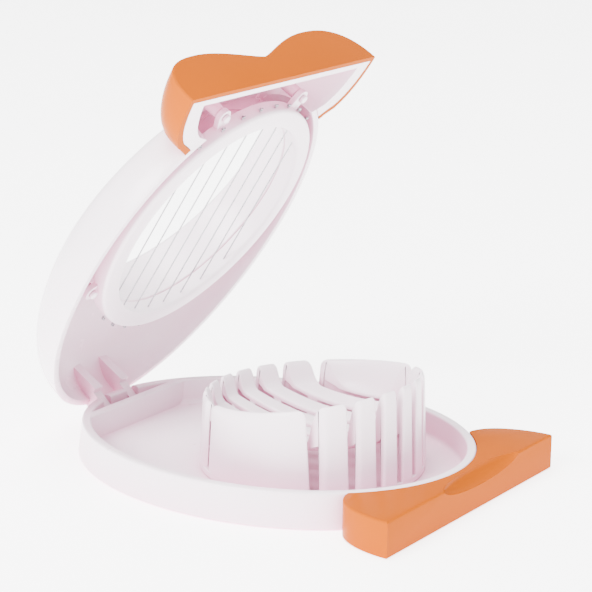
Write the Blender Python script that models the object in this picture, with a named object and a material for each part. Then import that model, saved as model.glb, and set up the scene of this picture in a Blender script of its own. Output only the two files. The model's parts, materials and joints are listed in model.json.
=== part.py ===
"""Egg slicer: an oval tray with a slotted egg cradle, and a hinged lid that carries eight wires.

Frame: +Z up, the orange lips point along -Y, the hinge is at +Y and turns about X.
The origin is on the table, in the plane of symmetry. The lid stands open, as at rest.
Sizes below are in millimetres; the lid's pieces are described in their closed position.
"""
import math

import bmesh
import bpy
from mathutils import Matrix, Vector

MM = 0.001
GAP = 0.3                     # clearance kept between two pieces that touch
OVERLAP = 1.0                 # how far a piece runs into the one it is joined with
CUT_REACH = 60.0              # cutters run this far, past every piece

# Oval outline shared by the tray and the lid: two half ellipses on one long axis.
OVAL_HALF_WIDTH = 49.2
OVAL_CENTRE_Y = 4.2
OVAL_REAR = 63.8
OVAL_FRONT = 60.5
OUTLINE_STEPS = 60

# Tray
TRAY_HEIGHT = 10.7
TRAY_FLOOR = 3.0
TRAY_FLARE = 1.1              # the wall leans out by this much at its foot
TRAY_WALL = 2.8
TRAY_EDGE = 0.8               # bevel on the rim and on the foot
TRAY_DRAFT = 0.6              # the inside narrows by this much towards the floor
TRAY_FILLET = 1.0
BAR_FRONT_Y = 57.2
BAR_REAR_Y = 60.2
BAR_END_CLEARANCE = 1.0       # the bar ends inside the rim's thickness
BAR_DROP = 0.05               # the bar's top lies this far below the rim

# Hinge
HINGE_Y = 65.6
HINGE_Z = 5.2
OPEN_ANGLE = math.radians(57.75)
PIN_RADIUS = 1.3
PIN_HALF_LENGTH = 12.4
LUG_X = 6.3
LUG_THICKNESS = 3.4
LUG_EYE_RADIUS = 2.9
LUG_NECK_Y = 61.4             # front of the lug below the lid's rim
LUG_PLATE_Y = 59.8            # free edge of the plate above the rim
LUG_PLATE_TOP = 23.6
BEARING_X = 10.9
BEARING_WIDTH = 4.2
BEARING_FRONT = 4.2           # distances from the pin's axis
BEARING_TOP = 3.4
NOTCH_INNER_X = 4.0
NOTCH_OUTER_X = 8.5
NOTCH_FLOOR = 1.8

# Egg cradle
CRADLE_Y = -7.4
CRADLE_FOOT_RADIUS = 33.0
CRADLE_RADIUS = 32.3
CRADLE_WALL = 1.5
CRADLE_FLOOR = 1.5            # thickness of the plate under the cradle
CRADLE_SLOT_FOOT = 5.0
CRADLE_RIM = 27.0
CRADLE_RIM_TILT = -4.4        # change of the rim height from the centre to the rear
CRADLE_RIM_LIFT = 1.6         # extra height at the front and the rear
CRADLE_RIM_PROFILE = ((0.0, 3.0), (0.2, 1.0), (0.7, 0.1), (1.2, 0.1), (1.9, 1.4), (2.5, 4.2))
BOWL_BOTTOM = 12.9
BOWL_RISE = 0.0064            # height gained per square millimetre of radius
BOWL_SHELL = 2.2
BOWL_RADIUS = 28.8            # where the bowl meets the foot of the rim
BOWL_LIP = 0.9                # rise of the fillet there
CRADLE_STEPS = 48

# Wires and their slots
WIRE_COUNT = 8
WIRE_PITCH = 7.5
WIRE_RADIUS = 0.25
WIRE_Z = 11.9
WIRE_HOLE_RADIUS = 0.6
WIRE_BEAD_RADIUS = 0.9
SLOT_TOP_WIDTH = 2.8
SLOT_FOOT_WIDTH = 1.9

# Lid
LID_RIM_Z = 11.1
LID_INSET = 0.25              # the lid's outline is this much inside the tray's
LID_WALL = 2.2
OPENING_Y = -8.2
OPENING_RADIUS = 35.2
OPENING_Z = 27.8              # height of the opening's upper edge above Y = 0
OPENING_SLOPE = 0.093
DOME_POWER = 2.5
DOME_STEPS = 7
NECK_FOOT_Z = 15.2
OPENING_EDGE = 1.0            # width of the bevel round the opening
OPENING_EDGE_DROP = 0.8
LID_CUT_DEPTH = 5.0           # cutters start this far below the lid's rim

# Cutting ring
RING_OUTER_RADIUS = 41.3
RING_BAND_RADIUS = 38.2
RING_FOOT_Z = 9.8
RING_TOP_Z = 14.9
RING_EDGE = 0.9               # rounding of the ring's lower edges
RING_STEPS = 48
EAR_BOTTOM_Z = 13.1
EAR_TOP_Z = 14.7
EAR_RADIUS = 2.3
PEG_RADIUS = 0.8
PEG_HEAD_RADIUS = 1.3
PEG_HEAD_HEIGHT = 1.0
PEG_LENGTH = 6.0
PEG_PLACES = ((-19.0, -49.2), (19.0, -49.2), (-38.0, 12.6), (38.0, 12.6))
BOSS_RADIUS = 1.9
BOSS_TOP_FRONT = 22.8
BOSS_TOP_REAR = 26.6

# Orange lips: plan outline and the lobed front of the upper one.
LIP_FRONT_Y = -62.0
LIP_ROOT_Y = -41.2
LIP_ROOT_HALF_WIDTH = 33.0
LIP_ROOT_TAPER = 0.4          # the hidden part behind the root narrows at this rate
LIP_HALF_WIDTH = 45.2
LOBE_X = 26.4
LOBE_Z = 27.1
NOTCH_Z = 21.0
LOBE_POWER = 2.5
LOBE_INNER_POWER = 1.2
LIP_SECTIONS = 9
LIP_SIDE_STEPS = 7
LIP_WALL = 1.4
NOSE_WALL = 1.8
LIP_REAR_Y = -33.0
LIP_FALL = 0.42               # share of the lobes' height lost towards the rear
SCOOP_X = 4.5                 # the finger scoop sits a little to one side
SCOOP_SIZE = (20.5, 4.0, 3.6)

WHITE = (0.93, 0.89, 0.91)
ORANGE = (0.95, 0.33, 0.04)
STEEL = (0.62, 0.62, 0.64)


def clear_scene():
    for item in list(bpy.data.objects):
        bpy.data.objects.remove(item)


def make_material(name, colour, roughness, metallic=0.0):
    material = bpy.data.materials.new(name)
    material.use_nodes = True
    shader = material.node_tree.nodes["Principled BSDF"]
    shader.inputs["Base Color"].default_value = (*colour, 1.0)
    shader.inputs["Roughness"].default_value = roughness
    shader.inputs["Metallic"].default_value = metallic
    return material


def make_object(name, bm, material=None):
    """Turn a bmesh in millimetres into a smooth-shaded object in metres."""
    bmesh.ops.recalc_face_normals(bm, faces=bm.faces)
    bmesh.ops.scale(bm, vec=(MM, MM, MM), verts=bm.verts)
    mesh = bpy.data.meshes.new(name)
    bm.to_mesh(mesh)
    bm.free()
    mesh.shade_smooth()
    mesh.set_sharp_from_angle(angle=math.radians(35))
    item = bpy.data.objects.new(name, mesh)
    bpy.context.collection.objects.link(item)
    if material:
        mesh.materials.append(material)
    return item


def combine(target, tool, operation):
    """Apply one Boolean to the target's mesh and remove the tool."""
    modifier = target.modifiers.new("combine", "BOOLEAN")
    modifier.operation = operation
    modifier.object = tool
    graph = bpy.context.evaluated_depsgraph_get()
    mesh = bpy.data.meshes.new_from_object(target.evaluated_get(graph))
    target.modifiers.clear()
    target.data = mesh
    bpy.data.objects.remove(tool)
    mesh.set_sharp_from_angle(angle=math.radians(35))


def loft(rings, closed):
    """Skin rings of equal length; closed joins the last ring to the first, else both are capped."""
    bm = bmesh.new()
    loops = [[bm.verts.new(point) for point in ring] for ring in rings]
    count = len(loops[0])
    spans = list(zip(loops, loops[1:]))
    if closed:
        spans.append((loops[-1], loops[0]))
    else:
        bm.faces.new(loops[0])
        bm.faces.new(loops[-1])
    for low, high in spans:
        for i in range(count):
            j = (i + 1) % count
            bm.faces.new((low[i], low[j], high[j], high[i]))
    return bm


def box(low, high):
    """Axis-aligned block between two corners."""
    (x0, y0, z0), (x1, y1, z1) = low, high
    base = [(x0, y0), (x1, y0), (x1, y1), (x0, y1)]
    return prism(base, z0, z1)


def prism(outline, z0, z1):
    """Upright prism over a plan outline."""
    return loft([[(x, y, z) for x, y in outline] for z in (z0, z1)], closed=False)


def side_prism(outline, x0, x1):
    """Prism along X over an outline in the YZ plane."""
    return loft([[(x, y, z) for y, z in outline] for x in (x0, x1)], closed=False)


def rod(radius, start, end, sides=20):
    """Straight cylinder between two points."""
    start, end = Vector(start), Vector(end)
    turn = (end - start).to_track_quat("Z", "Y")
    rings = []
    for centre in (start, end):
        ring = []
        for i in range(sides):
            angle = 2 * math.pi * i / sides
            arm = Vector((radius * math.cos(angle), radius * math.sin(angle), 0))
            ring.append(tuple(centre + turn @ arm))
        rings.append(ring)
    return loft(rings, closed=False)


def oval_point(angle, inset=0.0):
    """Point of the shared outline, moved inwards; the angle runs from +Y towards +X."""
    reach = OVAL_REAR if math.cos(angle) > 0 else OVAL_FRONT
    x = (OVAL_HALF_WIDTH - inset) * math.sin(angle)
    y = OVAL_CENTRE_Y + (reach - inset) * math.cos(angle)
    return x, y


def oval_ring(inset, z):
    angles = [2 * math.pi * i / OUTLINE_STEPS for i in range(OUTLINE_STEPS)]
    return [(*oval_point(angle, inset), z) for angle in angles]


def oval_half_width(y):
    """Half width of the outline at a distance along the tray."""
    reach = OVAL_REAR if y > OVAL_CENTRE_Y else OVAL_FRONT
    return OVAL_HALF_WIDTH * math.sqrt(1 - ((y - OVAL_CENTRE_Y) / reach) ** 2)


def circle_ring(radius, z, centre_y, steps, lift=None):
    """Ring of points round a vertical axis; lift(y) may raise each of them."""
    ring = []
    for i in range(steps):
        angle = 2 * math.pi * i / steps
        y = centre_y + radius * math.cos(angle)
        rise = lift(y) if lift else 0.0
        ring.append((radius * math.sin(angle), y, z + rise))
    return ring


def wire_places():
    middle = (WIRE_COUNT - 1) / 2
    return [(i - middle) * WIRE_PITCH for i in range(WIRE_COUNT)]


# ---- tray -------------------------------------------------------------------------------------

def tray_outer(extra=0.0):
    """Solid of the tray's outside, grown by extra to cut the pieces that fit against it."""
    return loft([
        oval_ring(-TRAY_FLARE + TRAY_EDGE - extra, -extra),
        oval_ring(-TRAY_FLARE - extra, TRAY_EDGE),
        oval_ring(-extra, TRAY_HEIGHT - TRAY_EDGE),
        oval_ring(-extra, TRAY_HEIGHT + extra),
    ], closed=False)


def make_tray(material):
    rings = [
        oval_ring(-TRAY_FLARE + TRAY_EDGE, 0.0),
        oval_ring(-TRAY_FLARE, TRAY_EDGE),
        oval_ring(0.0, TRAY_HEIGHT - TRAY_EDGE),
        oval_ring(TRAY_EDGE / 3, TRAY_HEIGHT - TRAY_EDGE / 3),
        oval_ring(TRAY_EDGE, TRAY_HEIGHT),
        oval_ring(TRAY_WALL - TRAY_EDGE, TRAY_HEIGHT),
        oval_ring(TRAY_WALL, TRAY_HEIGHT - TRAY_EDGE),
        oval_ring(TRAY_WALL + TRAY_DRAFT, TRAY_FLOOR + TRAY_FILLET),
        oval_ring(TRAY_WALL + TRAY_DRAFT + TRAY_FILLET, TRAY_FLOOR),
    ]
    tray = make_object("base_tray", loft(rings, closed=False), material)
    combine(tray, make_object("bar", hinge_bar()), "UNION")
    for side in (-1, 1):
        combine(tray, make_object("bearing", bearing_block(side)), "UNION")
        combine(tray, make_object("notch", rear_notch(side)), "DIFFERENCE")
    combine(tray, make_object("bore", pin_bore()), "DIFFERENCE")
    return tray


def pin_bore():
    """Cutter for the pin's hole through both bearings or both lugs."""
    return rod(PIN_RADIUS + GAP, (-CUT_REACH, HINGE_Y, HINGE_Z), (CUT_REACH, HINGE_Y, HINGE_Z))


def hinge_bar():
    """Straight bar across the hinge end, standing on the floor."""
    front = oval_half_width(BAR_FRONT_Y) - BAR_END_CLEARANCE
    rear = oval_half_width(BAR_REAR_Y) - BAR_END_CLEARANCE
    outline = [(-front, BAR_FRONT_Y), (front, BAR_FRONT_Y), (rear, BAR_REAR_Y), (-rear, BAR_REAR_Y)]
    return prism(outline, TRAY_FLOOR - OVERLAP, TRAY_HEIGHT - BAR_DROP)


def bearing_block(side):
    """Block beside the lid's lug that holds one end of the pin."""
    inner = side * (BEARING_X - BEARING_WIDTH / 2)
    outer = side * (BEARING_X + BEARING_WIDTH / 2)
    rear = OVAL_CENTRE_Y + OVAL_REAR * math.sqrt(1 - (outer / OVAL_HALF_WIDTH) ** 2) - TRAY_WALL / 2
    low = (min(inner, outer), HINGE_Y - BEARING_FRONT, TRAY_FLOOR - OVERLAP)
    high = (max(inner, outer), rear, HINGE_Z + BEARING_TOP)
    return box(low, high)


def rear_notch(side):
    """Room in the rear wall for one of the lid's lugs to swing through."""
    ends = sorted((side * NOTCH_INNER_X, side * NOTCH_OUTER_X))
    low = (ends[0], BAR_REAR_Y + GAP, NOTCH_FLOOR)
    high = (ends[1], HINGE_Y + CUT_REACH, TRAY_HEIGHT + CUT_REACH)
    return box(low, high)


def make_pin(material):
    start = (-PIN_HALF_LENGTH, HINGE_Y, HINGE_Z)
    end = (PIN_HALF_LENGTH, HINGE_Y, HINGE_Z)
    return make_object("hinge_pin", rod(PIN_RADIUS, start, end, sides=24), material)


# ---- egg cradle -------------------------------------------------------------------------------

def rim_lift(y):
    """Height of the cradle's rim above its middle height: low at the rear, high at the front."""
    t = (y - CRADLE_Y) / CRADLE_RADIUS
    return CRADLE_RIM_TILT * t + CRADLE_RIM_LIFT * t * t


def bowl_height(radius):
    return BOWL_BOTTOM + BOWL_RISE * radius * radius


def cradle_ring(radius, z, follow=0.0):
    """Ring of the cradle; follow says how much of the rim's slope it takes."""
    return circle_ring(radius, z, CRADLE_Y, CRADLE_STEPS, lambda y: follow * rim_lift(y))


def make_cradle(material):
    rings = [cradle_ring(CRADLE_FOOT_RADIUS, TRAY_FLOOR + GAP)]
    for inset, drop in CRADLE_RIM_PROFILE:
        rings.append(cradle_ring(CRADLE_RADIUS - inset, CRADLE_RIM - drop, follow=1.0))
    rings.append(cradle_ring(BOWL_RADIUS, bowl_height(BOWL_RADIUS) + BOWL_LIP, follow=0.15))
    for share in (0.88, 0.67, 0.41, 0.15):
        radius = BOWL_RADIUS * share
        rings.append(cradle_ring(radius, bowl_height(radius)))
    cradle = make_object("egg_cradle", loft(rings, closed=False), material)
    combine(cradle, make_object("hollow", cradle_hollow()), "DIFFERENCE")
    for x in wire_places():
        combine(cradle, make_object("slot", cradle_slot(x)), "DIFFERENCE")
    return cradle


def cradle_slot(x):
    """Upright slot for one wire, a little wider at its top."""
    foot = CRADLE_SLOT_FOOT
    top = CRADLE_RIM + CUT_REACH
    narrow = SLOT_FOOT_WIDTH / 2
    wide = narrow + (SLOT_TOP_WIDTH / 2 - narrow) * (top - foot) / (CRADLE_RIM - foot)
    rings = []
    for y in (CRADLE_Y - CUT_REACH, CRADLE_Y + CUT_REACH):
        rings.append([(x - narrow, y, foot), (x + narrow, y, foot), (x + wide, y, top), (x - wide, y, top)])
    return loft(rings, closed=False)


def cradle_hollow():
    """Space under the bowl's shell; the slots open it to the outside."""
    inner = CRADLE_RADIUS - CRADLE_WALL
    floor = TRAY_FLOOR + GAP + CRADLE_FLOOR
    rings = [cradle_ring(inner, floor)]
    for share in (1.0, 0.85, 0.65, 0.4, 0.15):
        radius = inner * share
        rings.append(cradle_ring(radius, bowl_height(radius) - BOWL_SHELL))
    return loft(rings, closed=False)


# ---- lid --------------------------------------------------------------------------------------

def opening_point(angle, radius):
    """Point at the lid's round opening that faces the outline's point at this angle."""
    x, y = oval_point(angle)
    bearing = math.atan2(x, y - OPENING_Y)
    return radius * math.sin(bearing), OPENING_Y + radius * math.cos(bearing)


def opening_height(y):
    return OPENING_Z + OPENING_SLOPE * y


def dome_ring(part, inset, radius, drop):
    """Ring of the dome, from part 0 at the lid's rim to part 1 at the edge of the opening."""
    turn = part * math.pi / 2
    inwards = 1 - max(math.cos(turn), 0.0) ** (2 / DOME_POWER)
    upwards = math.sin(turn) ** (2 / DOME_POWER)
    ring = []
    for i in range(OUTLINE_STEPS):
        angle = 2 * math.pi * i / OUTLINE_STEPS
        outer = Vector(oval_point(angle, inset))
        inner = Vector(opening_point(angle, radius))
        x, y = outer.lerp(inner, inwards)
        top = opening_height(inner.y) - drop
        ring.append((x, y, LID_RIM_Z + (top - LID_RIM_Z) * upwards))
    return ring


def opening_ring(radius, height):
    """Ring round the opening, at a fixed height or, given a function, at height(y)."""
    ring = []
    for i in range(OUTLINE_STEPS):
        x, y = opening_point(2 * math.pi * i / OUTLINE_STEPS, radius)
        ring.append((x, y, height(y) if callable(height) else height))
    return ring


def dome_outer(extra=0.0):
    """Solid under the dome's outer surface, without its opening."""
    parts = [i / DOME_STEPS for i in range(DOME_STEPS + 1)]
    rings = [oval_ring(LID_INSET - extra, LID_RIM_Z - LID_CUT_DEPTH)]
    rings += [dome_ring(part, LID_INSET - extra, OPENING_RADIUS + OPENING_EDGE, -extra) for part in parts]
    return loft(rings, closed=False)


def dome_inner():
    """Solid of the space inside the dome, outside the opening's neck."""
    parts = [i / DOME_STEPS for i in range(DOME_STEPS + 1)]
    neck = OPENING_RADIUS + LID_WALL
    inset = LID_INSET + LID_WALL
    low = LID_RIM_Z - LID_CUT_DEPTH
    rings = [opening_ring(neck, low), oval_ring(inset, low)]
    rings += [dome_ring(part, inset, neck, LID_WALL) for part in parts]
    return loft(rings, closed=True)


def make_lid(material):
    parts = [i / DOME_STEPS for i in range(DOME_STEPS + 1)]
    rings = [dome_ring(part, LID_INSET, OPENING_RADIUS + OPENING_EDGE, 0.0) for part in parts]
    rings.append(opening_ring(OPENING_RADIUS, lambda y: opening_height(y) - OPENING_EDGE_DROP))
    rings.append(opening_ring(OPENING_RADIUS, LID_RIM_Z))
    lid = make_object("lid_shell", loft(rings, closed=True), material)
    combine(lid, make_object("nose", nose_solid(LIP_WALL + GAP)), "UNION")
    cavity = nose_solid(LIP_WALL + GAP + NOSE_WALL, LID_CUT_DEPTH)
    combine(lid, make_object("nose_hollow", cavity), "DIFFERENCE")
    combine(lid, make_object("dome_hollow", dome_inner()), "DIFFERENCE")
    combine(lid, make_object("opening", opening_cutter()), "DIFFERENCE")
    combine(lid, make_object("neck_foot", neck_cutter()), "DIFFERENCE")
    for side in (-1, 1):
        combine(lid, make_object("lug", hinge_lug(side)), "UNION")
    combine(lid, make_object("bore", pin_bore()), "DIFFERENCE")
    for place in PEG_PLACES:
        combine(lid, make_object("boss", peg_boss(place)), "UNION")
        combine(lid, make_object("peg_hole", peg_hole(place)), "DIFFERENCE")
    return lid


def opening_cutter():
    """Clears everything inside the round opening."""
    return loft([
        circle_ring(OPENING_RADIUS, LID_RIM_Z - LID_CUT_DEPTH, OPENING_Y, OUTLINE_STEPS),
        circle_ring(OPENING_RADIUS, LID_RIM_Z + CUT_REACH, OPENING_Y, OUTLINE_STEPS),
    ], closed=False)


def neck_cutter():
    """Removes the neck below its foot, where the cutting ring sits."""
    radius = OPENING_RADIUS + LID_WALL + OVERLAP
    return loft([
        circle_ring(radius, LID_RIM_Z - LID_CUT_DEPTH, OPENING_Y, OUTLINE_STEPS),
        circle_ring(radius, NECK_FOOT_Z, OPENING_Y, OUTLINE_STEPS),
    ], closed=False)


def hinge_lug(side):
    """Three-cornered plate inside the lid's rear, ending in an eye round the pin."""
    steps = 10
    eye = []
    for i in range(steps + 1):
        angle = -math.pi + math.pi * i / steps
        eye.append((HINGE_Y + LUG_EYE_RADIUS * math.cos(angle), HINGE_Z + LUG_EYE_RADIUS * math.sin(angle)))
    wall_y = OVAL_CENTRE_Y + OVAL_REAR - LID_INSET - LID_WALL / 2
    plate = [
        (wall_y, LID_RIM_Z + 2.0),
        (wall_y - 1.2, LID_RIM_Z + 7.5),
        (LUG_PLATE_Y, LUG_PLATE_TOP),
        (LUG_PLATE_Y, LID_RIM_Z + GAP),
        (LUG_NECK_Y, LID_RIM_Z + GAP),
    ]
    x0 = side * LUG_X - LUG_THICKNESS / 2
    return side_prism(eye + plate, x0, x0 + LUG_THICKNESS)


def peg_boss(place):
    """Post inside the lid, above one ear of the cutting ring."""
    x, y = place
    top = BOSS_TOP_FRONT if y < 0 else BOSS_TOP_REAR
    return rod(BOSS_RADIUS, (x, y, EAR_TOP_Z + GAP), (x, y, top), sides=16)


def peg_hole(place):
    x, y = place
    low = LID_RIM_Z - LID_CUT_DEPTH
    high = EAR_BOTTOM_Z + PEG_LENGTH + GAP
    return rod(PEG_RADIUS + GAP, (x, y, low), (x, y, high), sides=16)


# ---- lips -------------------------------------------------------------------------------------

def lip_half_width(y):
    """Half width of the lips' plan outline: a quarter ellipse from the root to the front corner."""
    t = (y - LIP_FRONT_Y) / (LIP_ROOT_Y - LIP_FRONT_Y)
    if t >= 1:
        return LIP_ROOT_HALF_WIDTH - LIP_ROOT_TAPER * (y - LIP_ROOT_Y)
    return LIP_ROOT_HALF_WIDTH + (LIP_HALF_WIDTH - LIP_ROOT_HALF_WIDTH) * math.sqrt(1 - t * t)


def lobe_height(share):
    """Height share of the lobed front, for a place from the middle (0) to the corner (1)."""
    peak = LOBE_X / LIP_HALF_WIDTH
    valley = (NOTCH_Z - LID_RIM_Z) / (LOBE_Z - LID_RIM_Z)
    if share <= peak:
        return valley + (1 - valley) * math.sin(math.pi / 2 * share / peak) ** LOBE_INNER_POWER
    along = min((share - peak) / (1 - peak), 1.0)
    return (1 - along ** LOBE_POWER) ** (1 / LOBE_POWER)


def lobe_shares():
    """Places across half of the lobed front, closer together where it turns down."""
    peak = LOBE_X / LIP_HALF_WIDTH
    inner = [peak * i / LIP_SIDE_STEPS for i in range(LIP_SIDE_STEPS + 1)]
    outer = []
    for i in range(1, LIP_SIDE_STEPS + 1):
        turn = math.pi / 2 * i / LIP_SIDE_STEPS
        outer.append(peak + (1 - peak) * math.sin(turn) ** (2 / LOBE_POWER))
    return inner + outer


def nose_height_factor(y):
    """The lobes sink towards the rear until the dome swallows them."""
    t = (y - LIP_FRONT_Y) / (LIP_REAR_Y - LIP_FRONT_Y)
    return 1.0 - LIP_FALL * t ** 2


def nose_section(y, inset, floor_z):
    """Cross-section of the upper lip at one place along Y, shrunk by inset."""
    half = lip_half_width(y + inset) - inset
    height = (LOBE_Z - LID_RIM_Z) * nose_height_factor(y)
    right = []
    for share in lobe_shares():
        z = LID_RIM_Z + height * lobe_height(share) - inset
        right.append((share * half, y, max(z, LID_RIM_Z + 0.01)))
    left = [(-x, y, z) for x, _, z in reversed(right[1:])]
    return left + right + [(half, y, floor_z), (-half, y, floor_z)]


def nose_solid(inset, below=0.0):
    """Lobed solid of the upper lip, shrunk by inset and reaching below the rim plane."""
    front = LIP_FRONT_Y + inset
    sections = []
    for i in range(LIP_SECTIONS):
        turn = math.pi / 2 * i / (LIP_SECTIONS - 1)
        y = front + (LIP_REAR_Y - front) * (1 - math.cos(turn))
        sections.append(nose_section(y, inset, LID_RIM_Z - below))
    return loft(sections, closed=False)


def make_upper_lip(material):
    lip = make_object("upper_lip", nose_solid(0.0, 0.0), material)
    combine(lip, make_object("lip_hollow", nose_solid(LIP_WALL, LID_CUT_DEPTH)), "DIFFERENCE")
    combine(lip, make_object("dome", dome_outer(GAP)), "DIFFERENCE")
    return lip


def lip_outline():
    """Plan outline of the lower lip, running on into the tray's oval."""
    steps = 14
    right = []
    for i in range(steps + 1):
        turn = math.pi / 2 * i / steps
        y = LIP_FRONT_Y + (LIP_ROOT_Y - LIP_FRONT_Y) * math.sin(turn)
        right.append((lip_half_width(y), y))
    left = [(-x, y) for x, y in reversed(right)]
    return right + left


def make_lower_lip(material):
    lip = make_object("lower_lip", prism(lip_outline(), 0.0, TRAY_HEIGHT), material)
    combine(lip, make_object("tray_fit", tray_outer(GAP)), "DIFFERENCE")
    combine(lip, make_object("scoop", scoop()), "DIFFERENCE")
    return lip


def scoop():
    """Finger scoop in the lower lip's upper front edge."""
    bm = bmesh.new()
    bmesh.ops.create_uvsphere(bm, u_segments=24, v_segments=12, radius=1.0)
    bmesh.ops.rotate(bm, matrix=Matrix.Rotation(math.pi / 2, 3, "Y"), verts=bm.verts)
    bmesh.ops.scale(bm, vec=SCOOP_SIZE, verts=bm.verts)
    bmesh.ops.translate(bm, vec=(SCOOP_X, LIP_FRONT_Y, TRAY_HEIGHT), verts=bm.verts)
    return bm


# ---- cutting ring and wires ---------------------------------------------------------------------

def make_ring(material):
    profile = [
        (OPENING_RADIUS, RING_TOP_Z),
        (OPENING_RADIUS, RING_FOOT_Z + RING_EDGE),
        (OPENING_RADIUS + RING_EDGE * 0.8, RING_FOOT_Z + RING_EDGE * 0.2),
        (RING_BAND_RADIUS, RING_FOOT_Z),
        (RING_OUTER_RADIUS - RING_EDGE, RING_FOOT_Z + RING_EDGE * 0.6),
        (RING_OUTER_RADIUS, RING_FOOT_Z + RING_EDGE * 1.6),
        (RING_OUTER_RADIUS, RING_TOP_Z),
    ]
    rings = [circle_ring(radius, z, OPENING_Y, RING_STEPS) for radius, z in profile]
    ring = make_object("cutting_ring", loft(rings, closed=True), material)
    for place in PEG_PLACES:
        combine(ring, make_object("ear", ring_ear(place)), "UNION")
        combine(ring, make_object("ear_hole", peg_hole(place)), "DIFFERENCE")
    for x in wire_places():
        combine(ring, make_object("wire_hole", wire_hole(x)), "DIFFERENCE")
    return ring


def wire_hole(x):
    start = (x, OPENING_Y - CUT_REACH, WIRE_Z)
    end = (x, OPENING_Y + CUT_REACH, WIRE_Z)
    return rod(WIRE_HOLE_RADIUS, start, end, sides=8)


def ring_ear(place):
    """Flat ear of the cutting ring, pointing away from its centre."""
    x, y = place
    outwards = Vector((x, y - OPENING_Y)).normalized()
    across = Vector((-outwards.y, outwards.x)) * EAR_RADIUS
    centre = Vector((x, y))
    root = Vector((0, OPENING_Y)) + outwards * (RING_OUTER_RADIUS - OVERLAP)
    outline = [root - across, root + across]
    steps = 8
    for i in range(steps + 1):
        angle = math.pi * i / steps
        outline.append(centre + across * math.cos(angle) + outwards * EAR_RADIUS * math.sin(angle))
    return prism([tuple(point) for point in outline], EAR_BOTTOM_Z, EAR_TOP_Z)


def make_peg(name, place, material):
    """Headed peg that holds one ear of the cutting ring to the lid."""
    x, y = place
    profile = [
        (PEG_HEAD_RADIUS, EAR_BOTTOM_Z - GAP - PEG_HEAD_HEIGHT),
        (PEG_HEAD_RADIUS, EAR_BOTTOM_Z - GAP),
        (PEG_RADIUS, EAR_BOTTOM_Z - GAP),
        (PEG_RADIUS, EAR_BOTTOM_Z + PEG_LENGTH),
    ]
    rings = []
    for radius, z in profile:
        rings.append([(x + px, y + py, z) for px, py, _ in circle_ring(radius, 0, 0, 16)])
    return make_object(name, loft(rings, closed=False), material)


def make_wire(name, x, material):
    """One taut wire with a bead at each end, just outside the ring's wall."""
    reach = math.sqrt((RING_OUTER_RADIUS + GAP + WIRE_BEAD_RADIUS) ** 2 - x * x)
    places = [
        (-reach - WIRE_BEAD_RADIUS, WIRE_RADIUS),
        (-reach, WIRE_BEAD_RADIUS),
        (-reach + WIRE_BEAD_RADIUS, WIRE_RADIUS),
        (reach - WIRE_BEAD_RADIUS, WIRE_RADIUS),
        (reach, WIRE_BEAD_RADIUS),
        (reach + WIRE_BEAD_RADIUS, WIRE_RADIUS),
    ]
    sides = 8
    rings = []
    for along, radius in places:
        ring = []
        for i in range(sides):
            angle = 2 * math.pi * i / sides
            ring.append((x + radius * math.cos(angle), OPENING_Y + along, WIRE_Z + radius * math.sin(angle)))
        rings.append(ring)
    return make_object(name, loft(rings, closed=False), material)


# ---- assembly -----------------------------------------------------------------------------------

def hang_on_hinge(items):
    """Parent the lid's pieces to an empty on the hinge axis and swing them open."""
    pivot = bpy.data.objects.new("lid_hinge", None)
    pivot.location = (0, HINGE_Y * MM, HINGE_Z * MM)
    pivot.rotation_euler = (-OPEN_ANGLE, 0, 0)
    bpy.context.collection.objects.link(pivot)
    for item in items:
        item.parent = pivot
        item.location = (0, -HINGE_Y * MM, -HINGE_Z * MM)


def main():
    clear_scene()
    white_base = make_material("white_tray", WHITE, 0.35)
    white_cradle = make_material("white_cradle", WHITE, 0.35)
    white_lid = make_material("white_lid", WHITE, 0.3)
    white_ring = make_material("white_ring", WHITE, 0.35)
    orange_lower = make_material("orange_lower_lip", ORANGE, 0.3)
    orange_upper = make_material("orange_upper_lip", ORANGE, 0.3)
    steel_pin = make_material("steel_pin", STEEL, 0.3, metallic=1.0)
    steel_wire = make_material("steel_wire", STEEL, 0.25, metallic=1.0)

    make_tray(white_base)
    make_cradle(white_cradle)
    make_lower_lip(orange_lower)
    make_pin(steel_pin)

    lid_pieces = [make_lid(white_lid), make_upper_lip(orange_upper), make_ring(white_ring)]
    for number, x in enumerate(wire_places(), start=1):
        lid_pieces.append(make_wire(f"slicing_wire_{number}", x, steel_wire))
    for number, place in enumerate(PEG_PLACES, start=1):
        lid_pieces.append(make_peg(f"ring_peg_{number}", place, white_ring))
    hang_on_hinge(lid_pieces)


main()
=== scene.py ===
import json
import math

import bmesh
import bpy
from mathutils import Matrix, Vector


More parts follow.
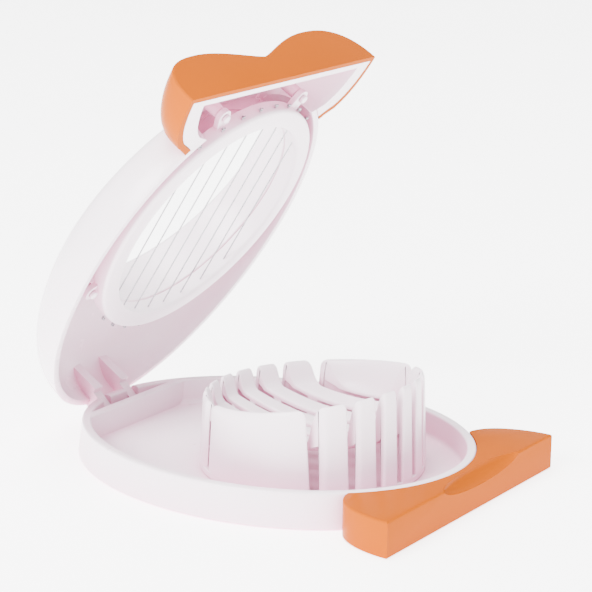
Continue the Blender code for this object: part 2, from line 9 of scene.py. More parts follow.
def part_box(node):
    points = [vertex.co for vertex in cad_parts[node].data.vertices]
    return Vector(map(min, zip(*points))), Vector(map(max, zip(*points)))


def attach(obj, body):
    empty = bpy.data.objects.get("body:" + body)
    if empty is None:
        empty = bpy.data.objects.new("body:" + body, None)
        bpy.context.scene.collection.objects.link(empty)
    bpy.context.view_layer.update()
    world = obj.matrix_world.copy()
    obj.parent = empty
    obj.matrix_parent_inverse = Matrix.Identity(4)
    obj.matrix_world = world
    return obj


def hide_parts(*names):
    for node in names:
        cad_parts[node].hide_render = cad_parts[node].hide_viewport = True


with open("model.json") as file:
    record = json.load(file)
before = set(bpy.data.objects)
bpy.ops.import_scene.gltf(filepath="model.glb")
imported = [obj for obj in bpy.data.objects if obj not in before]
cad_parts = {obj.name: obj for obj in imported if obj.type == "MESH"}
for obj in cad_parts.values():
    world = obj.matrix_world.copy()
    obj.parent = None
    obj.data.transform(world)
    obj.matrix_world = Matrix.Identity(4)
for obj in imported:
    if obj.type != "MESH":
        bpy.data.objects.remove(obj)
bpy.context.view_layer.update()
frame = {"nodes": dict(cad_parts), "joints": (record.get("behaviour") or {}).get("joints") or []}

# Lengths are in millimetres unless a comment says otherwise. The lid's pieces are described closed and
# then swung open.
MM = 0.001
SHARP_ANGLE = 35              # degrees; edges that turn further than this stay sharp

# ---- driving sizes read from the frame ------------------------------------------------------------

tray_low, tray_high = (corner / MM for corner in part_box("base_tray"))
cradle_low, cradle_high = (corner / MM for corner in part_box("egg_cradle"))
lip_low, lip_high = (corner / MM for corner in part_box("lower_lip"))
hinge = frame["joints"][0]
HINGE_Y = hinge["pos_m"][1] / MM
HINGE_Z = hinge["pos_m"][2] / MM
OPEN_ANGLE = math.radians(-hinge["range_deg"][0])

# ---- tray and hinge sizes -------------------------------------------------------------------------

TRAY_FLARE = 1.1              # extra reach of the tray's foot beyond its rim
TRAY_HEIGHT = tray_high.z
TRAY_FLOOR = 3.0
TRAY_WALL = 2.8
TRAY_EDGE = 0.7
TRAY_FILLET = 1.8
TRAY_WALL_DRAFT = 0.5         # extra thickness of the wall where it meets the floor
TRAY_RECESS = 0.6             # depth of the underside's recess
TRAY_RECESS_INSET = 2.0       # distance from the foot's inner edge to the ring that closes the underside
OVAL_HALF_WIDTH = tray_high.x - TRAY_FLARE
OVAL_CENTRE_Y = 4.2
OVAL_REAR = tray_high.y - TRAY_FLARE - OVAL_CENTRE_Y
OVAL_FRONT = OVAL_CENTRE_Y - tray_low.y - TRAY_FLARE
OUTLINE_STEPS = 144

BAR_FRONT_Y = 57.2
BAR_REAR_Y = 60.2
BAR_DROP = 0.05               # drop of the bar's top below the tray's rim
BAR_EDGE = 0.6
BAR_END_CLEARANCE = 1.0
OVERLAP = 1.0                 # depth to which a piece is sunk into the piece it is joined to
NOTCH_INNER_X = 4.0
NOTCH_OUTER_X = 8.5
NOTCH_FLOOR = 1.8
NOTCH_GAP = 0.3
CUT_REACH = 10.0              # distance that a notch's cutter runs past the hinge
CUT_HEIGHT = 5.0              # distance that a notch's cutter rises above the rim
PIN_BORE_RADIUS = 1.6
PIN_BORE_HALF_LENGTH = 30.0
LUG_X = 6.3
LUG_THICKNESS = 3.4
LUG_EYE_RADIUS = 2.9
LUG_NECK_Y = 61.4
LUG_PLATE_Y = 59.8
LUG_PLATE_TOP = 23.6
LUG_WALL_RISE = 2.0           # lowest place of the lug on the dome's wall, above the rim
LUG_WALL_TOP = 7.5
LUG_WALL_LEAN = 1.2
LUG_FOOT_RISE = 0.3
BEARING_X = 10.9
BEARING_WIDTH = 4.2
BEARING_FRONT = 4.2           # reach of a bearing in front of the pin
BEARING_REAR_INSET = 0.5
BEARING_TOP = 3.4             # rise of a bearing above the pin

# ---- cradle sizes ---------------------------------------------------------------------------------

CRADLE_FOOT_RADIUS = cradle_high.x
CRADLE_TAPER = 0.7
CRADLE_RADIUS = CRADLE_FOOT_RADIUS - CRADLE_TAPER
CRADLE_Y = cradle_high.y - CRADLE_FOOT_RADIUS
CRADLE_RIM = 27.0
CRADLE_RIM_TILT = -4.4
CRADLE_RIM_LIFT = 1.6
CRADLE_WALL = 1.5
CRADLE_FOOT_TOP = 5.0
BOWL_BOTTOM = 12.9
BOWL_RISE = 0.0064
BOWL_SHELL = 1.2
BOWL_BLEND = 1.4              # width over which the rim's inner flank runs out into the bowl
SHELL_FLARE = 1.6             # extra rise of the bowl's underside at SHELL_FLARE_END
SHELL_FLARE_START = 24.0
SHELL_FLARE_END = 31.0
SHELL_MINIMUM = 1.0
FINGER_EDGE = 0.7             # rounding along the slots
FINGER_CORNER = 0.6           # rounding of the fingers' upright corners
FINGER_CORNER_DEPTH = 1.0     # distance from the outer wall over which that rounding fades
FINGER_STEPS = 96
FINGER_SHARP_ANGLE = 50
SMALLEST_SQUARE = 1e-4        # keeps the outermost row's square root above zero
FINGER_MIDDLE_STEPS = 5
END_PIECE_STEPS = 18
LEAN_WIDTH = 2.0              # width beside a slot over which its side's lean fades
FINGER_SINK = 0.1             # depth to which the fingers are sunk into the foot
FOOT_EDGE = 0.4
FOOT_CHAMFER = 0.2
FOOT_BOTTOM_CHAMFER = 0.3
CLOSING_STEP = 0.002          # the end pieces stop this far short of the cradle's outermost place
ROUND_STEPS = 4               # steps of a finger's rounded edge

# Rim of the cradle, from its outer edge inwards: (distance from the outer wall, depth below the rim).
RIM_PROFILE = ((0.0, 3.0), (0.05, 1.9), (0.2, 1.0), (0.5, 0.3), (0.9, 0.0), (1.3, 0.15), (1.7, 0.8),
               (2.0, 1.7), (2.3, 3.0), (2.6, 4.4))

# ---- wire and slot sizes --------------------------------------------------------------------------

WIRE_COUNT = 8
WIRE_PITCH = 7.5
WIRE_RADIUS = 0.2
WIRE_Z = 11.9
WIRE_PAST_RING = 0.7          # reach of the wires beyond the ring
COIL_RADIUS = 0.38
COIL_LENGTH = 0.9
COIL_START = 0.3              # distance from a wire's end at which its coil starts
COIL_TURNS = 2
COIL_STEPS = 12
COIL_THICKENING = 1.1
SLOT_TOP_WIDTH = 2.8
SLOT_FOOT_WIDTH = 1.9

# ---- lid sizes ------------------------------------------------------------------------------------

LID_RIM_Z = 11.1
LID_INSET = 0.6
LID_WALL = 2.2
LID_EDGE = 0.45
LID_CORNER = 0.12             # middle step of the rim's rounded edge
OPENING_Y = -8.2
OPENING_RADIUS = 35.2
OPENING_Z = 27.8
OPENING_SLOPE = 0.093
OPENING_EDGE = 1.2
OPENING_EDGE_SHARES = (0.35, 0.7, 1.0)
DOME_POWER = 2.5
DOME_STEPS = 18
NECK_FOOT_Z = 15.2
NECK_EDGE = 0.4
NECK_THINNING = 0.3
NECK_OFFSET = 0.02            # keeps the neck's face off the dome's face
NECK_INNER_DROP = 1.4
NECK_OUTER_DROP = 1.0
DOME_SKIRT = 5.0              # depth of the dome's cutter below the rim
DOME_CUT_EDGE = 1.0

# ---- cutting ring, ear and peg sizes --------------------------------------------------------------

RING_OUTER_RADIUS = 41.3
RING_BAND_RADIUS = 38.2
RING_FOOT_Z = 9.8
RING_TOP_Z = 14.9
RING_INNER_EDGE = 1.0
RING_OUTER_EDGE = 1.2
RING_BAND_RISE = 0.2
RING_FLANK = 1.6              # distance from the ring's outer face to the end of its flat band
EAR_ROOT_DEPTH = 2.0
EAR_STEPS = 20
EAR_BOTTOM_Z = 13.1
EAR_TOP_Z = 14.7
EAR_RADIUS = 2.3
PEG_RADIUS = 0.8
PEG_HEAD_RADIUS = 1.3
PEG_HEAD_HEIGHT = 1.0
PEG_LENGTH = 6.0
PEG_GAP = 0.3
PEG_HEAD_EDGE = 0.4
PEG_HEAD_EDGE_RISE = 0.5
PEG_HEAD_CROWN = 0.08         # fall of the crown from its flat middle to its end
CROWN_FLAT = 0.35             # shares of the head's radius
CROWN_END = 0.7
HOLE_CLEARANCE = 0.3
HOLE_REACH = 2.0
PEG_PLACES = ((-19.0, -49.2), (19.0, -49.2), (-38.0, 12.6), (38.0, 12.6))
BOSS_RADIUS = 1.9
BOSS_TOP_FRONT = 22.8
BOSS_TOP_REAR = 26.0
BOSS_EDGE = 0.2
BOSS_HOLE_DEPTH = 1.0

# ---- lip sizes ------------------------------------------------------------------------------------

LIP_FRONT_Y = lip_low.y
LIP_HALF_WIDTH = lip_high.x
LIP_ROOT_Y = -41.2
LIP_ROOT_HALF_WIDTH = 33.0
LOBE_X = 26.4
LOBE_Z = 27.1
NOTCH_Z = 21.0
LOBE_POWER = 2.5
LOBE_INNER_POWER = 1.2
LIP_SECTIONS = 22
LIP_SIDE_STEPS = 16
LIP_PLAN_STEPS = 28
LIP_WALL = 1.4
LIP_REAR_Y = -33.0
LIP_REAR_TAPER = 0.4          # narrowing of the lip per millimetre behind its root
LIP_EDGE = 0.6                # rounding of the upper lip's front edge
LOWER_LIP_EDGE = 0.7
CURL_STEPS = 4
NOSE_FALL = 0.42              # share of the nose's height lost towards its rear
LEAST_HEIGHT = 0.01           # least height of a nose section above the lid's rim
NOSE_WALL = 1.8
NOSE_CUT_DEPTH = 3.0
NOSE_SIDE_WALL = 3.4          # extra width of the lining at its two sides
FIT = 0.1                     # visible gap between two fitted pieces
SCOOP_X = 4.5
SCOOP_SIZE = (20.5, 4.0, 3.6)

# ---- material values ------------------------------------------------------------------------------

# Painted shade: ambient occlusion darkens and pinks the plastic in hollows, standing in for the shade that
# falls there.
PAINTED_SHADE_DEPTH = 0.030          # metres over which painted shade deepens the plastic's colour in a hollow
PAINTED_SHADE_SAMPLES = 8
PAINTED_SHADE_RANGE = (0.1, 0.78)    # openness at which the colour is all painted shade, and all plain colour
RAMP_START = 0.3
RAMP_END = 0.7
CLOUD_SCALE = 35.0
GLOSS_SCALE = 160.0
GLOSS_SPREAD = 0.06
RIPPLE_SCALE = 900.0
RIPPLE_STRENGTH = 0.12
RIPPLE_DEPTH = 0.0001         # metres
SCATTER_RADIUS = (0.004, 0.0025, 0.003)    # metres
WHITE_IOR = 1.46
WHITE_SCATTER = 0.06
ORANGE_IOR = 1.06
STREAK_SCALE = 1400.0
STREAK_SPREAD = 0.08
STEEL_DARK = (0.30, 0.29, 0.31)
STEEL_LIGHT = (0.55, 0.54, 0.56)

WHITE = (0.91, 0.81, 0.865)
WHITE_SHADE = (0.90, 0.79, 0.85)
# painted shade: the pink that shaded hollows of the white plastic are painted
PINK_PAINTED_SHADE = (0.79, 0.38, 0.54)
ORANGE = (0.385, 0.079, 0.0001)
ORANGE_SHADE = (0.365, 0.075, 0.0001)
# painted shade: the deeper orange that hollows of the orange plastic are painted
ORANGE_PAINTED_SHADE = (0.34, 0.060, 0.0001)
FLOOR_DARK = (0.93, 0.93, 0.93)
FLOOR_LIGHT = (0.95, 0.95, 0.95)

# ---- stage and camera values ----------------------------------------------------------------------

FLOOR_GLOW = 4.5
FLOOR_HALF_SIZE = 9000
FLOOR_DROP = 0.05
FLOOR_ROUGHNESS = 0.8
FLOOR_CLOUD_SCALE = 6.0
WORLD_STRENGTH = 1.3
KEY_POWER = 38.0
FILL_POWER = 4.0
TOP_POWER = 23.0
LIGHT_TARGET = (0, 0, 0.05)   # metres, as are the places and sizes of the lights
KEY_PLACE = (-1.1, 0.15, 0.75)
KEY_SIZE = 0.7
FILL_PLACE = (-0.35, -1.1, 0.5)
TOP_PLACE = (0.0, 0.1, 1.3)
SOFT_SIZE = 0.8               # size of the fill and top lights

CAMERA_AZIMUTH = -55.607      # degrees, as are the next two
CAMERA_ELEVATION = 15.364
CAMERA_ROLL = 0.744
CAMERA_PLACE = (-0.5398, -0.3703, 0.2324)    # metres
CAMERA_LENS = 142.73
CAMERA_SENSOR = 36.0


# ---- mesh helpers ---------------------------------------------------------------------------------

def make_object(name, bm, swing=False, sharp=SHARP_ANGLE):
    """Turn a bmesh in millimetres into a smooth-shaded object in metres; swing opens a lid piece."""
    bmesh.ops.recalc_face_normals(bm, faces=bm.faces)
    bmesh.ops.scale(bm, vec=(MM, MM, MM), verts=bm.verts)
    mesh = bpy.data.meshes.new(name)
    bm.to_mesh(mesh)
    bm.free()
    item = bpy.data.objects.new(name, mesh)
    bpy.context.scene.collection.objects.link(item)
    if swing:
        mesh.transform(opened())
    smooth(item, sharp)
    return item


def opened():
    """Transform that swings the closed lid into its rest pose."""
    pivot = Matrix.Translation((0, HINGE_Y * MM, HINGE_Z * MM))
    return pivot @ Matrix.Rotation(-OPEN_ANGLE, 4, "X") @ pivot.inverted()


def smooth(item, sharp=SHARP_ANGLE):
    """Smooth shading, with sharp edges kept."""
    item.data.shade_smooth()
    item.data.set_sharp_from_angle(angle=math.radians(sharp))


def combine(target, bm, operation):
    """Apply one Boolean with a closed tool mesh, which is then removed again."""
    tool = make_object("tool", bm)
    modifier = target.modifiers.new("combine", "BOOLEAN")
    modifier.operation = operation
    modifier.object = tool
    graph = bpy.context.evaluated_depsgraph_get()
    mesh = bpy.data.meshes.new_from_object(target.evaluated_get(graph))
    target.modifiers.clear()
    target.data = mesh
    bpy.data.objects.remove(tool)
    smooth(target)


def swing_open(item):
    """Swing a finished lid piece from closed to rest."""
    item.data.transform(opened())


def loft(rings, closed=False):
    """Skin rings of equal length; closed joins the last ring to the first, else both are capped."""
    bm = bmesh.new()
    loops = [[bm.verts.new(point) for point in ring] for ring in rings]
    count = len(loops[0])
    spans = list(zip(loops, loops[1:]))
    if closed:
        spans.append((loops[-1], loops[0]))
    else:
        bm.faces.new(loops[0])
        bm.faces.new(loops[-1])
    for low, high in spans:
        for i in range(count):
            j = (i + 1) % count
            bm.faces.new((low[i], low[j], high[j], high[i]))
    return bm


def prism(outline, z0, z1):
    """Upright prism over an outline in the XY plane."""
    return loft([[(x, y, z) for x, y in outline] for z in (z0, z1)])


def box(low, high):
    """Box between two corners."""
    (x0, y0, z0), (x1, y1, z1) = low, high
    return prism([(x0, y0), (x1, y0), (x1, y1), (x0, y1)], z0, z1)


def side_prism(outline, x0, x1):
    """Prism along X over an outline in the YZ plane."""
    return loft([[(x, y, z) for y, z in outline] for x in (x0, x1)])


def tube(points, radius, sides=10):
    """Round tube along a list of points, capped at both ends."""
    points = [Vector(point) for point in points]
    rings = []
    side = None
    for i, point in enumerate(points):
        ahead = points[min(i + 1, len(points) - 1)] - points[max(i - 1, 0)]
        ahead.normalize()
        if side is None:
            side = ahead.orthogonal().normalized()
        side = (side - ahead * side.dot(ahead)).normalized()
        other = ahead.cross(side)
        ring = []
        for k in range(sides):
            angle = 2 * math.pi * k / sides
            ring.append(point + radius * (math.cos(angle) * side + math.sin(angle) * other))
        rings.append(ring)
    return loft(rings)


def turned(profile, centre, steps=32):
    """Turned solid about an upright axis, from (radius, z) pairs that run from end to end."""
    x, y = centre
    rings = []
    for radius, z in profile:
        ring = []
        for i in range(steps):
            angle = 2 * math.pi * i / steps
            ring.append((x + radius * math.sin(angle), y + radius * math.cos(angle), z))
        rings.append(ring)
    return loft(rings)


def arc(centre, radius, start, end, steps):
    """Points of an arc in a plane; the angles are in degrees."""
    points = []
    for i in range(steps + 1):
        angle = math.radians(start + (end - start) * i / steps)
        points.append((centre[0] + radius * math.cos(angle), centre[1] + radius * math.sin(angle)))
    return points


def join(items, name):
    """Join several objects into the first."""
    bpy.ops.object.select_all(action="DESELECT")
    for item in items:
        item.select_set(True)
    bpy.context.view_layer.objects.active = items[0]
    bpy.ops.object.join()
    items[0].name = name
    return items[0]


# ---- the oval shared by tray and lid --------------------------------------------------------------

def oval_point(angle, inset=0.0):
    """Point of the egg-shaped outline, from two half ellipses; angle 0 is at the hinge."""
    reach = OVAL_REAR if math.cos(angle) > 0 else OVAL_FRONT
    x = (OVAL_HALF_WIDTH - inset) * math.sin(angle)
    y = OVAL_CENTRE_Y + (reach - inset) * math.cos(angle)
    return x, y


def outline_angles():
    """Even steps once round."""
    return [2 * math.pi * i / OUTLINE_STEPS for i in range(OUTLINE_STEPS)]


def oval_ring(inset, z):
    """Level ring of the outline, moved inwards."""
    return [(*oval_point(angle, inset), z) for angle in outline_angles()]


def oval_half_width(y):
    """Half width of the outline at a place along Y."""
    reach = OVAL_REAR if y > OVAL_CENTRE_Y else OVAL_FRONT
    return OVAL_HALF_WIDTH * math.sqrt(1 - ((y - OVAL_CENTRE_Y) / reach) ** 2)


def wire_places():
    """Places of the wires along X, which are also the middles of the slots."""
    middle = (WIRE_COUNT - 1) / 2
    return [(i - middle) * WIRE_PITCH for i in range(WIRE_COUNT)]


# ---- tray -----------------------------------------------------------------------------------------

def make_tray():
    """Tray with rounded rim and foot, a filleted floor and a recessed underside."""
    edge = TRAY_EDGE
    fillet = TRAY_FILLET
    recess_wall = TRAY_WALL + TRAY_RECESS
    profile = [(TRAY_WALL + TRAY_RECESS_INSET, TRAY_RECESS), (recess_wall, TRAY_RECESS), (TRAY_WALL, 0.0)]
    profile += [(-TRAY_FLARE + edge - x, z) for x, z in arc((0, edge), edge, -90, 0, 5)]
    profile += [(edge - x, z) for x, z in arc((0, TRAY_HEIGHT - edge), edge, 0, 90, 5)]
    profile += [(TRAY_WALL - edge - x, z) for x, z in arc((0, TRAY_HEIGHT - edge), edge, 90, 180, 5)]
    foot = (TRAY_WALL + TRAY_WALL_DRAFT + fillet, TRAY_FLOOR + fillet)
    profile += [(foot[0] + x, foot[1] + z) for x, z in arc((0, 0), fillet, 180, 270, 6)]
    tray = make_object("tray_body", loft([oval_ring(inset, z) for inset, z in profile]))
    combine(tray, hinge_bar(), "UNION")
    for side in (-1, 1):
        combine(tray, bearing_block(side), "UNION")
        combine(tray, rear_notch(side), "DIFFERENCE")
    combine(tray, pin_bore(), "DIFFERENCE")
    return tray


def rear_notch(side):
    """Cutter for the notch in the tray's rim behind one of the lid's lugs."""
    ends = sorted((side * NOTCH_INNER_X, side * NOTCH_OUTER_X))
    low = (ends[0], BAR_REAR_Y + NOTCH_GAP, NOTCH_FLOOR)
    high = (ends[1], HINGE_Y + CUT_REACH, TRAY_HEIGHT + CUT_HEIGHT)
    return box(low, high)


def pin_bore():
    """Cutter for the pin's hole, which also runs out through the tray's rear wall."""
    start = (-PIN_BORE_HALF_LENGTH, HINGE_Y, HINGE_Z)
    end = (PIN_BORE_HALF_LENGTH, HINGE_Y, HINGE_Z)
    return tube([start, end], PIN_BORE_RADIUS, 24)


def hinge_bar():
    """Straight bar across the hinge end, with a rounded top."""
    edge = BAR_EDGE
    middle = (BAR_FRONT_Y + BAR_REAR_Y) / 2
    half = (BAR_REAR_Y - BAR_FRONT_Y) / 2
    foot = TRAY_FLOOR - OVERLAP
    top = TRAY_HEIGHT - BAR_DROP - edge
    section = [(-half, foot)]
    section += arc((-half + edge, top), edge, 180, 90, 4)
    section += arc((half - edge, top), edge, 90, 0, 4)
    section += [(half, foot)]
    rings = []
    for side in (-1, 1):
        ring = []
        for across, z in section:
            y = middle + across
            ring.append((side * (oval_half_width(y) - BAR_END_CLEARANCE), y, z))
        rings.append(ring)
    return loft(rings)


def bearing_block(side):
    """Block beside the lid's lug that holds one end of the pin."""
    inner = side * (BEARING_X - BEARING_WIDTH / 2)
    outer = side * (BEARING_X + BEARING_WIDTH / 2)
    rim = OVAL_CENTRE_Y + OVAL_REAR * math.sqrt(1 - (outer / OVAL_HALF_WIDTH) ** 2)
    low = (min(inner, outer), HINGE_Y - BEARING_FRONT, TRAY_FLOOR - OVERLAP)
    high = (max(inner, outer), rim - BEARING_REAR_INSET, HINGE_Z + BEARING_TOP)
    return box(low, high)


# ---- egg cradle -----------------------------------------------------------------------------------

def rim_lift(y):
    """Height of the cradle's sloping, slightly bowed rim above its middle height."""
    t = (y - CRADLE_Y) / CRADLE_RADIUS
    return CRADLE_RIM_TILT * t + CRADLE_RIM_LIFT * t * t


def bowl_height(radius):
    """Height of the sunk bowl at a distance from its middle."""
    return BOWL_BOTTOM + BOWL_RISE * radius * radius


def rim_depth(inset):
    """Depth below the rim at a distance from the outer wall, or None beyond the rim's profile."""
    for (x0, d0), (x1, d1) in zip(RIM_PROFILE, RIM_PROFILE[1:]):
        if inset <= x1:
            return d0 + (d1 - d0) * (inset - x0) / (x1 - x0)
    return None


def cradle_top(inset, y):
    """Height of the cradle's upper surface at a distance from the outer wall."""
    depth = rim_depth(max(inset, 0.0))
    if depth is not None:
        return CRADLE_RIM - depth + rim_lift(y)
    last_inset, last_depth = RIM_PROFILE[-1]
    rim_foot = CRADLE_RIM - last_depth + rim_lift(y)
    bowl = bowl_height(CRADLE_RADIUS - inset)
    share = min((inset - last_inset) / BOWL_BLEND, 1.0)
    blend = (1 - share) ** 2
    return max(bowl, bowl + (rim_foot - bowl) * blend)


def rounding(distance, radius):
    """Drop of a rounded edge at a distance from it."""
    if distance >= radius:
        return 0.0
    return radius - math.sqrt(radius * radius - (radius - distance) ** 2)


def cradle_underside(inset, y):
    """Height of the cradle's lower surface: the wall's foot, or the underside of the bowl."""
    if inset < CRADLE_WALL:
        return CRADLE_FOOT_TOP - FINGER_SINK
    radius = CRADLE_RADIUS - inset
    share = max(0.0, radius - SHELL_FLARE_START) / (SHELL_FLARE_END - SHELL_FLARE_START)
    flare = SHELL_FLARE * share ** 2
    return min(bowl_height(radius) - BOWL_SHELL + flare, cradle_top(inset, y) - SHELL_MINIMUM)


def rounded_steps(radius, count):
    """The first places from an edge, crowded towards it as its rounding needs."""
    return [radius * (1 - math.cos(math.pi / 2 * i / ROUND_STEPS)) for i in range(count)]


def edge_stations(x0, x1, radius, count):
    """Places from x0 to x1, crowded within the rounding at both ends."""
    near = rounded_steps(radius, ROUND_STEPS + 1)
    middle = [x0 + radius + (x1 - x0 - 2 * radius) * i / count for i in range(1, count)]
    return [x0 + d for d in near] + middle + [x1 - d for d in reversed(near)]


def finger_slab(name, stations, edge_distance):
    """Upright slab of the cradle over its places along X, closed all round.

    edge_distance gives the distance from a place to the nearest slot, and the side that slot is on.
    """
    bm = bmesh.new()
    top = []
    bottom = []
    for x in stations:
        distance, direction = edge_distance(x)
        top.append(finger_row(bm, x, distance, direction, CRADLE_RADIUS, finger_top))
        bottom.append(finger_row(bm, x, distance, direction, CRADLE_FOOT_RADIUS, finger_bottom))
    for grid in (top, bottom):
        for a, b in zip(grid, grid[1:]):
            for i in range(FINGER_STEPS):
                bm.faces.new((a[i], a[i + 1], b[i + 1], b[i]))
    last = len(stations) - 1
    for k in (0, last):
        for i in range(FINGER_STEPS):
            bm.faces.new((top[k][i], top[k][i + 1], bottom[k][i + 1], bottom[k][i]))
    for i in (0, FINGER_STEPS):
        for k in range(last):
            bm.faces.new((top[k][i], top[k + 1][i], bottom[k + 1][i], bottom[k][i]))
    return make_object(name, bm, sharp=FINGER_SHARP_ANGLE)


def finger_top(inset, y, distance):
    """Upper surface, rounded off near a slot."""
    return cradle_top(inset, y) - rounding(distance, FINGER_EDGE)


def finger_bottom(inset, y, distance):
    """Lower surface, which is the same at every distance from a slot."""
    return cradle_underside(inset, y)


def finger_row(bm, x, distance, direction, radius, height):
    """One row of points across the cradle along Y, from its rim to its rim, at a place x."""
    slant = (SLOT_TOP_WIDTH - SLOT_FOOT_WIDTH) / 2 / (CRADLE_RIM - CRADLE_FOOT_TOP)
    lean = direction * slant * max(0.0, 1 - distance / LEAN_WIDTH)
    shrink = rounding(distance, FINGER_CORNER)
    reach = math.sqrt(max(radius ** 2 - x * x, SMALLEST_SQUARE))
    row = []
    for i in range(FINGER_STEPS + 1):
        y = reach * math.sin(math.pi / 2 * (2 * i / FINGER_STEPS - 1))
        inset = radius - math.hypot(x, y)
        z = height(inset, CRADLE_Y + y, distance)
        y -= math.copysign(shrink * max(0.0, 1 - inset / FINGER_CORNER_DEPTH), y)
        row.append(bm.verts.new((x + lean * (CRADLE_RIM - z), CRADLE_Y + y, z)))
    return row


def make_cradle():
    """Seven fingers between the slots, two end pieces and the round foot they stand on."""
    places = wire_places()
    pieces = []
    for left, right in zip(places, places[1:]):
        x0 = left + SLOT_TOP_WIDTH / 2
        x1 = right - SLOT_TOP_WIDTH / 2

        def both_edges(x, x0=x0, x1=x1):
            nearer_left = x - x0 < x1 - x
            return (x - x0, -1) if nearer_left else (x1 - x, 1)

        stations = edge_stations(x0, x1, FINGER_EDGE, FINGER_MIDDLE_STEPS)
        pieces.append(finger_slab("finger", stations, both_edges))
    for side in (-1, 1):
        x0 = places[-1] + SLOT_TOP_WIDTH / 2
        stations = [x0 + step for step in rounded_steps(FINGER_EDGE, ROUND_STEPS)]
        begin = math.acos((x0 + FINGER_EDGE) / CRADLE_RADIUS)
        for i in range(END_PIECE_STEPS):
            stations.append(CRADLE_RADIUS * math.cos(begin * (1 - i / END_PIECE_STEPS)))
        stations.append(CRADLE_RADIUS - CLOSING_STEP)

        def one_edge(x, x0=x0, side=side):
            return abs(x) - x0, -side

        pieces.append(finger_slab("end_piece", [side * x for x in stations], one_edge))
    pieces.append(cradle_foot())
    return join(pieces, "cradle_body")


def cradle_foot():
    """Round foot that all the fingers stand on."""
    foot = CRADLE_FOOT_RADIUS
    profile = [
        (foot - FOOT_EDGE, TRAY_FLOOR),
        (foot, TRAY_FLOOR + FOOT_BOTTOM_CHAMFER),
        (foot, CRADLE_FOOT_TOP - FOOT_CHAMFER),
        (foot - FOOT_CHAMFER, CRADLE_FOOT_TOP),
    ]
    return make_object("foot", turned(profile, (0, CRADLE_Y), 128))


# ---- lid ------------------------------------------------------------------------------------------

def opening_point(angle, radius):
    """Point of the round opening in line with a point of the oval, seen from the opening's centre."""
    x, y = oval_point(angle)
    bearing = math.atan2(x, y - OPENING_Y)
    return radius * math.sin(bearing), OPENING_Y + radius * math.cos(bearing)


def opening_height(y):
    """Height of the opening's edge, which rises towards the hinge."""
    return OPENING_Z + OPENING_SLOPE * y


def dome_ring(part, inset, radius, drop, base=LID_RIM_Z):
    """Ring of the dome, from part 0 at the lid's rim to part 1 at the edge of the opening."""
    turn = part * math.pi / 2
    inwards = 1 - max(math.cos(turn), 0.0) ** (2 / DOME_POWER)
    upwards = math.sin(turn) ** (2 / DOME_POWER)
    ring = []
    for angle in outline_angles():
        outer = Vector(oval_point(angle, inset))
        inner = Vector(opening_point(angle, radius))
        x, y = outer.lerp(inner, inwards)
        top = opening_height(inner.y) - drop
        ring.append((x, y, base + (top - base) * upwards))
    return ring


def opening_ring(radius, height):
    """Ring round the opening, at a fixed height or at a height that depends on y."""
    ring = []
    for angle in outline_angles():
        x, y = opening_point(angle, radius)
        ring.append((x, y, height(y) if callable(height) else height))
    return ring


def dome_parts():
    """Even steps from the lid's rim (0) to the edge of the opening (1)."""
    return [i / DOME_STEPS for i in range(DOME_STEPS + 1)]


def dome_outer(extra=0.0):
    """Solid under the dome's outer surface, without its opening."""
    rings = [oval_ring(LID_INSET - extra, LID_RIM_Z - DOME_SKIRT)]
    for part in dome_parts():
        rings.append(dome_ring(part, LID_INSET - extra, OPENING_RADIUS + DOME_CUT_EDGE, -extra))
    return loft(rings)


def make_dome():
    """The domed wall: outer face, rounded edge of the opening, neck, inner face and rim."""
    rings = outer_rings() + neck_foot_rings(LID_WALL) + inner_rings()
    dome = make_object("dome_wall", loft(rings, closed=True))
    combine(dome, nose_cavity(), "DIFFERENCE")
    combine(dome, neck(), "UNION")
    for side in (-1, 1):
        combine(dome, hinge_lug(side), "UNION")
    combine(dome, pin_bore(), "DIFFERENCE")
    swing_open(dome)
    return dome


def outer_rings():
    """Rings from the lid's rim up its outer face and round the edge of the opening."""
    base = LID_RIM_Z + LID_EDGE
    rings = [oval_ring(LID_INSET + LID_EDGE, LID_RIM_Z)]
    rings.append(oval_ring(LID_INSET + LID_CORNER, LID_RIM_Z + LID_CORNER))
    for part in dome_parts():
        rings.append(dome_ring(part, LID_INSET, OPENING_RADIUS + OPENING_EDGE, 0.0, base))
    for share in OPENING_EDGE_SHARES:
        turn = share * math.pi / 2
        radius = OPENING_RADIUS + OPENING_EDGE * (1 - math.sin(turn))
        drop = OPENING_EDGE * (1 - math.cos(turn))
        rings.append(opening_ring(radius, lambda y, drop=drop: opening_height(y) - drop))
    return rings


def neck_foot_rings(wall, radius=OPENING_RADIUS):
    """Rings round the rounded lower edge of a neck of a given wall."""
    foot = NECK_FOOT_Z
    return [
        opening_ring(radius, foot + NECK_EDGE),
        opening_ring(OPENING_RADIUS + NECK_EDGE, foot),
        opening_ring(OPENING_RADIUS + wall - NECK_EDGE, foot),
        opening_ring(OPENING_RADIUS + wall, foot + NECK_EDGE),
    ]


def inner_rings():
    """Rings from the opening down the lid's inner face to its rim."""
    inset = LID_INSET + LID_WALL
    rings = []
    for part in reversed(dome_parts()):
        rings.append(dome_ring(part, inset, OPENING_RADIUS + LID_WALL, LID_WALL, LID_RIM_Z + LID_EDGE))
    rings.append(oval_ring(inset - LID_CORNER, LID_RIM_Z + LID_CORNER))
    rings.append(oval_ring(inset - LID_EDGE, LID_RIM_Z))
    return rings


def neck():
    """Round wall from the opening's edge down to the cutting ring."""
    wall = LID_WALL - NECK_THINNING
    inner = OPENING_RADIUS + NECK_OFFSET
    rings = [opening_ring(inner, lambda y: opening_height(y) - NECK_INNER_DROP)]
    rings += neck_foot_rings(wall, inner)
    rings.append(opening_ring(OPENING_RADIUS + wall, lambda y: opening_height(y) - NECK_OUTER_DROP))
    return loft(rings, closed=True)


def nose_cavity():
    """Cutter for the room inside the nose's lining."""
    return nose_solid(LIP_WALL + FIT + NOSE_WALL, NOSE_CUT_DEPTH, NOSE_SIDE_WALL)


